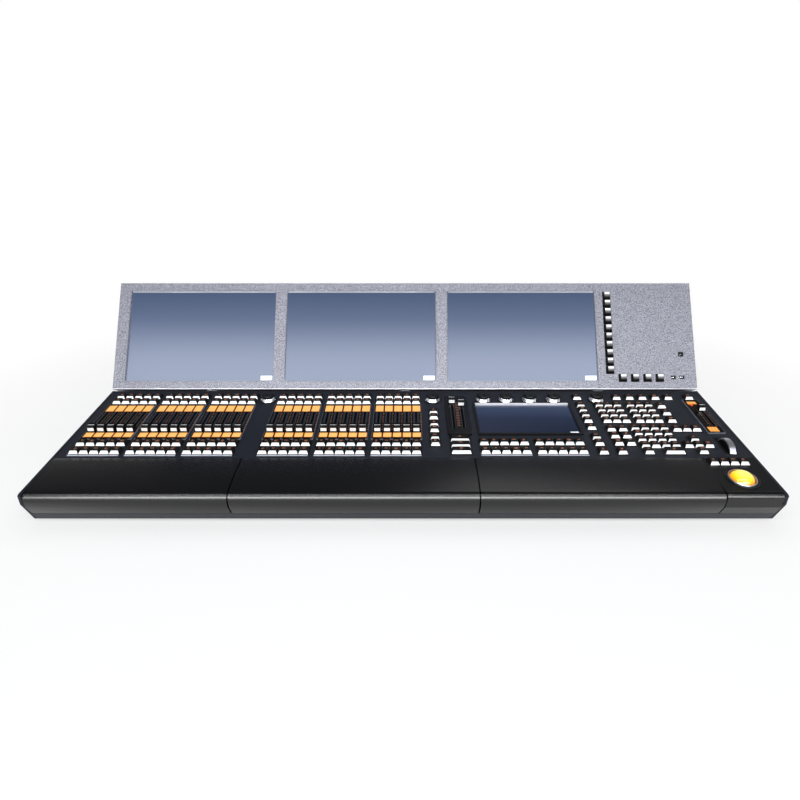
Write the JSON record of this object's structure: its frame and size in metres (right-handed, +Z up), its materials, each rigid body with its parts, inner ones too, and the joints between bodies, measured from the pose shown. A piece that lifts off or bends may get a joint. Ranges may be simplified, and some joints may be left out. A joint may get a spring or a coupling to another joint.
{
  "type": "lighting control desk",
  "caption": "Lighting control desk with a sloping surface of fader banks, key clusters, encoders and a trackball, and a tilting wing of touch screens.",
  "frame": {"origin": "middle of the footprint, on the surface that the feet stand on", "axes": "+X to the operator's right along the desk, +Y from the armrests to the back, +Z up"},
  "size_m": [1.29, 0.54, 0.3125],
  "materials": {
    "wing_paint": "fine textured powder coat",
    "case_paint": "satin powder coat",
    "armrest_moulding": "fine grained moulding",
    "black_plastic": "satin",
    "key_plastic": "black crown with a pale front face",
    "fader_plastic": "ribbed black cap with a white front",
    "screen_glass": "glossy display glass",
    "amber_lens": "translucent amber",
    "light_pipe": "frosted clear",
    "orange_plastic": "translucent orange",
    "knob_finish": "spun skirt with a black cap",
    "wheel_metal": "machined",
    "ball_plastic": "polished resin",
    "rubber": "moulded",
    "steel": "zinc plated",
    "circuit_board": "solder resist",
    "supply_can": "folded can"
  },
  "bodies": {
    "desk": {"armrest_left": "armrest_moulding", "armrest_middle": "armrest_moulding", "armrest_right": "armrest_moulding", "base_pan": "case_paint", "case_screws": "steel", "command_screen": "screen_glass", "command_screen_bezel": "black_plastic", "control_panel": "case_paint", "encoder_bodies": "black_plastic", "encoder_dishes": "black_plastic", "end_cheek_left": "case_paint", "end_cheek_right": "case_paint", "fader_frames": "black_plastic", "fader_modules": "black_plastic", "hinge_forks": "wing_paint", "key_bezels": "black_plastic", "key_circuit_boards": "circuit_board", "label_lenses": "amber_lens", "level_wheel_brackets": "black_plastic", "light_strips": "light_pipe", "main_board": "circuit_board", "power_supply": "supply_can", "rear_connectors": "black_plastic", "rear_deck": "case_paint", "rear_panel": "case_paint", "rubber_feet": "rubber", "trackball_cup": "black_plastic", "trackball_housing": "armrest_moulding", "trackball_ring": "wheel_metal"},
    "monitor_wing": {"monitor_bezel": "wing_paint", "monitor_back_cover": "wing_paint", "screen_left": "screen_glass", "screen_middle": "screen_glass", "screen_right": "screen_glass", "hinge_arms": "wing_paint", "wing_sockets": "black_plastic"},
    "wing_keys": {"wing_keys": "key_plastic"},
    "playback_keys_left": {"playback_keys_left": "key_plastic"},
    "playback_keys_right": {"playback_keys_right": "key_plastic"},
    "command_keys": {"command_keys": "key_plastic"},
    "program_keys": {"program_keys": "key_plastic"},
    "master_buttons": {"master_buttons": "orange_plastic"},
    "playback_fader_caps_1": {"playback_fader_caps_1": "fader_plastic"},
    "playback_fader_caps_2": {"playback_fader_caps_2": "fader_plastic"},
    "playback_fader_caps_3": {"playback_fader_caps_3": "fader_plastic"},
    "playback_fader_caps_4": {"playback_fader_caps_4": "fader_plastic"},
    "playback_fader_caps_5": {"playback_fader_caps_5": "fader_plastic"},
    "playback_fader_caps_6": {"playback_fader_caps_6": "fader_plastic"},
    "crossfader_cap_a": {"crossfader_cap_a": "fader_plastic"},
    "crossfader_cap_b": {"crossfader_cap_b": "fader_plastic"},
    "grand_master_cap": {"grand_master_cap": "fader_plastic"},
    "encoder_knob_1": {"encoder_knob_1": "knob_finish"},
    "encoder_knob_2": {"encoder_knob_2": "knob_finish"},
    "encoder_knob_3": {"encoder_knob_3": "knob_finish"},
    "encoder_knob_4": {"encoder_knob_4": "knob_finish"},
    "encoder_knob_5": {"encoder_knob_5": "knob_finish"},
    "encoder_knob_6": {"encoder_knob_6": "knob_finish"},
    "encoder_knob_7": {"encoder_knob_7": "knob_finish"},
    "trackball": {"trackball": "ball_plastic"},
    "level_wheel": {"level_wheel": "wheel_metal"}
  },
  "joints": [
    {"name": "wing_tilt", "type": "hinge", "parent": "desk", "child": "monitor_wing", "pos_m": [0, 0.08613, 0.09184], "axis": [1, 0, 0], "range_deg": [-20, 10]},
    {"name": "wing_keys_press", "type": "slide", "parent": "monitor_wing", "child": "wing_keys", "axis": [0, -0.8339, 0.5519], "range_m": [-0.0025, 0], "stiffness_N_per_m": 1400, "springref_m": 0.002},
    {"name": "playback_keys_left_press", "type": "slide", "parent": "desk", "child": "playback_keys_left", "axis": [0, -0.1075, 0.9942], "range_m": [-0.0025, 0], "stiffness_N_per_m": 6000, "springref_m": 0.002},
    {"name": "playback_keys_right_press", "type": "slide", "parent": "desk", "child": "playback_keys_right", "axis": [0, -0.1075, 0.9942], "range_m": [-0.0025, 0], "stiffness_N_per_m": 6000, "springref_m": 0.002},
    {"name": "command_keys_press", "type": "slide", "parent": "desk", "child": "command_keys", "axis": [0, -0.1075, 0.9942], "range_m": [-0.0025, 0], "stiffness_N_per_m": 2900, "springref_m": 0.002},
    {"name": "program_keys_press", "type": "slide", "parent": "desk", "child": "program_keys", "axis": [0, -0.1075, 0.9942], "range_m": [-0.0025, 0], "stiffness_N_per_m": 7600, "springref_m": 0.002},
    {"name": "master_buttons_press", "type": "slide", "parent": "desk", "child": "master_buttons", "axis": [0, -0.1075, 0.9942], "range_m": [-0.002, 0], "stiffness_N_per_m": 260, "springref_m": 0.002},
    {"name": "playback_faders_1_slide", "type": "slide", "parent": "desk", "child": "playback_fader_caps_1", "axis": [0, 0.9942, 0.1075], "range_m": [0, 0.06]},
    {"name": "playback_faders_2_slide", "type": "slide", "parent": "desk", "child": "playback_fader_caps_2", "axis": [0, 0.9942, 0.1075], "range_m": [0, 0.06]},
    {"name": "playback_faders_3_slide", "type": "slide", "parent": "desk", "child": "playback_fader_caps_3", "axis": [0, 0.9942, 0.1075], "range_m": [0, 0.06]},
    {"name": "playback_faders_4_slide", "type": "slide", "parent": "desk", "child": "playback_fader_caps_4", "axis": [0, 0.9942, 0.1075], "range_m": [0, 0.06]},
    {"name": "playback_faders_5_slide", "type": "slide", "parent": "desk", "child": "playback_fader_caps_5", "axis": [0, 0.9942, 0.1075], "range_m": [0, 0.06]},
    {"name": "playback_faders_6_slide", "type": "slide", "parent": "desk", "child": "playback_fader_caps_6", "axis": [0, 0.9942, 0.1075], "range_m": [0, 0.06]},
    {"name": "crossfader_a_slide", "type": "slide", "parent": "desk", "child": "crossfader_cap_a", "axis": [0, 0.9942, 0.1075], "range_m": [-0.095, 0.005]},
    {"name": "crossfader_b_slide", "type": "slide", "parent": "desk", "child": "crossfader_cap_b", "axis": [0, 0.9942, 0.1075], "range_m": [-0.0844, 0.0156]},
    {"name": "grand_master_slide", "type": "slide", "parent": "desk", "child": "grand_master_cap", "axis": [0, 0.9942, 0.1075], "range_m": [-0.06, 0]},
    {"name": "encoder_1_spin", "type": "hinge", "parent": "desk", "child": "encoder_knob_1", "pos_m": [-0.293, 0.03877, 0.10079], "axis": [0, -0.1075, 0.9942], "continuous": true},
    {"name": "encoder_2_spin", "type": "hinge", "parent": "desk", "child": "encoder_knob_2", "pos_m": [0.0597, 0.03877, 0.10079], "axis": [0, -0.1075, 0.9942], "continuous": true},
    {"name": "encoder_3_spin", "type": "hinge", "parent": "desk", "child": "encoder_knob_3", "pos_m": [0.1686, 0.03877, 0.10079], "axis": [0, -0.1075, 0.9942], "continuous": true},
    {"name": "encoder_4_spin", "type": "hinge", "parent": "desk", "child": "encoder_knob_4", "pos_m": [0.2173, 0.03877, 0.10079], "axis": [0, -0.1075, 0.9942], "continuous": true},
    {"name": "encoder_5_spin", "type": "hinge", "parent": "desk", "child": "encoder_knob_5", "pos_m": [0.2678, 0.03877, 0.10079], "axis": [0, -0.1075, 0.9942], "continuous": true},
    {"name": "encoder_6_spin", "type": "hinge", "parent": "desk", "child": "encoder_knob_6", "pos_m": [0.3192, 0.03877, 0.10079], "axis": [0, -0.1075, 0.9942], "continuous": true},
    {"name": "encoder_7_spin", "type": "hinge", "parent": "desk", "child": "encoder_knob_7", "pos_m": [0.4114, 0.03877, 0.10079], "axis": [0, -0.1075, 0.9942], "continuous": true},
    {"name": "trackball_roll", "type": "hinge", "parent": "desk", "child": "trackball", "pos_m": [0.59, -0.22367, 0.06286], "axis": [1, 0, 0], "continuous": true},
    {"name": "level_wheel_spin", "type": "hinge", "parent": "desk", "child": "level_wheel", "pos_m": [0.6105, -0.12831, 0.06462], "axis": [1, 0, 0], "continuous": true}
  ]
}
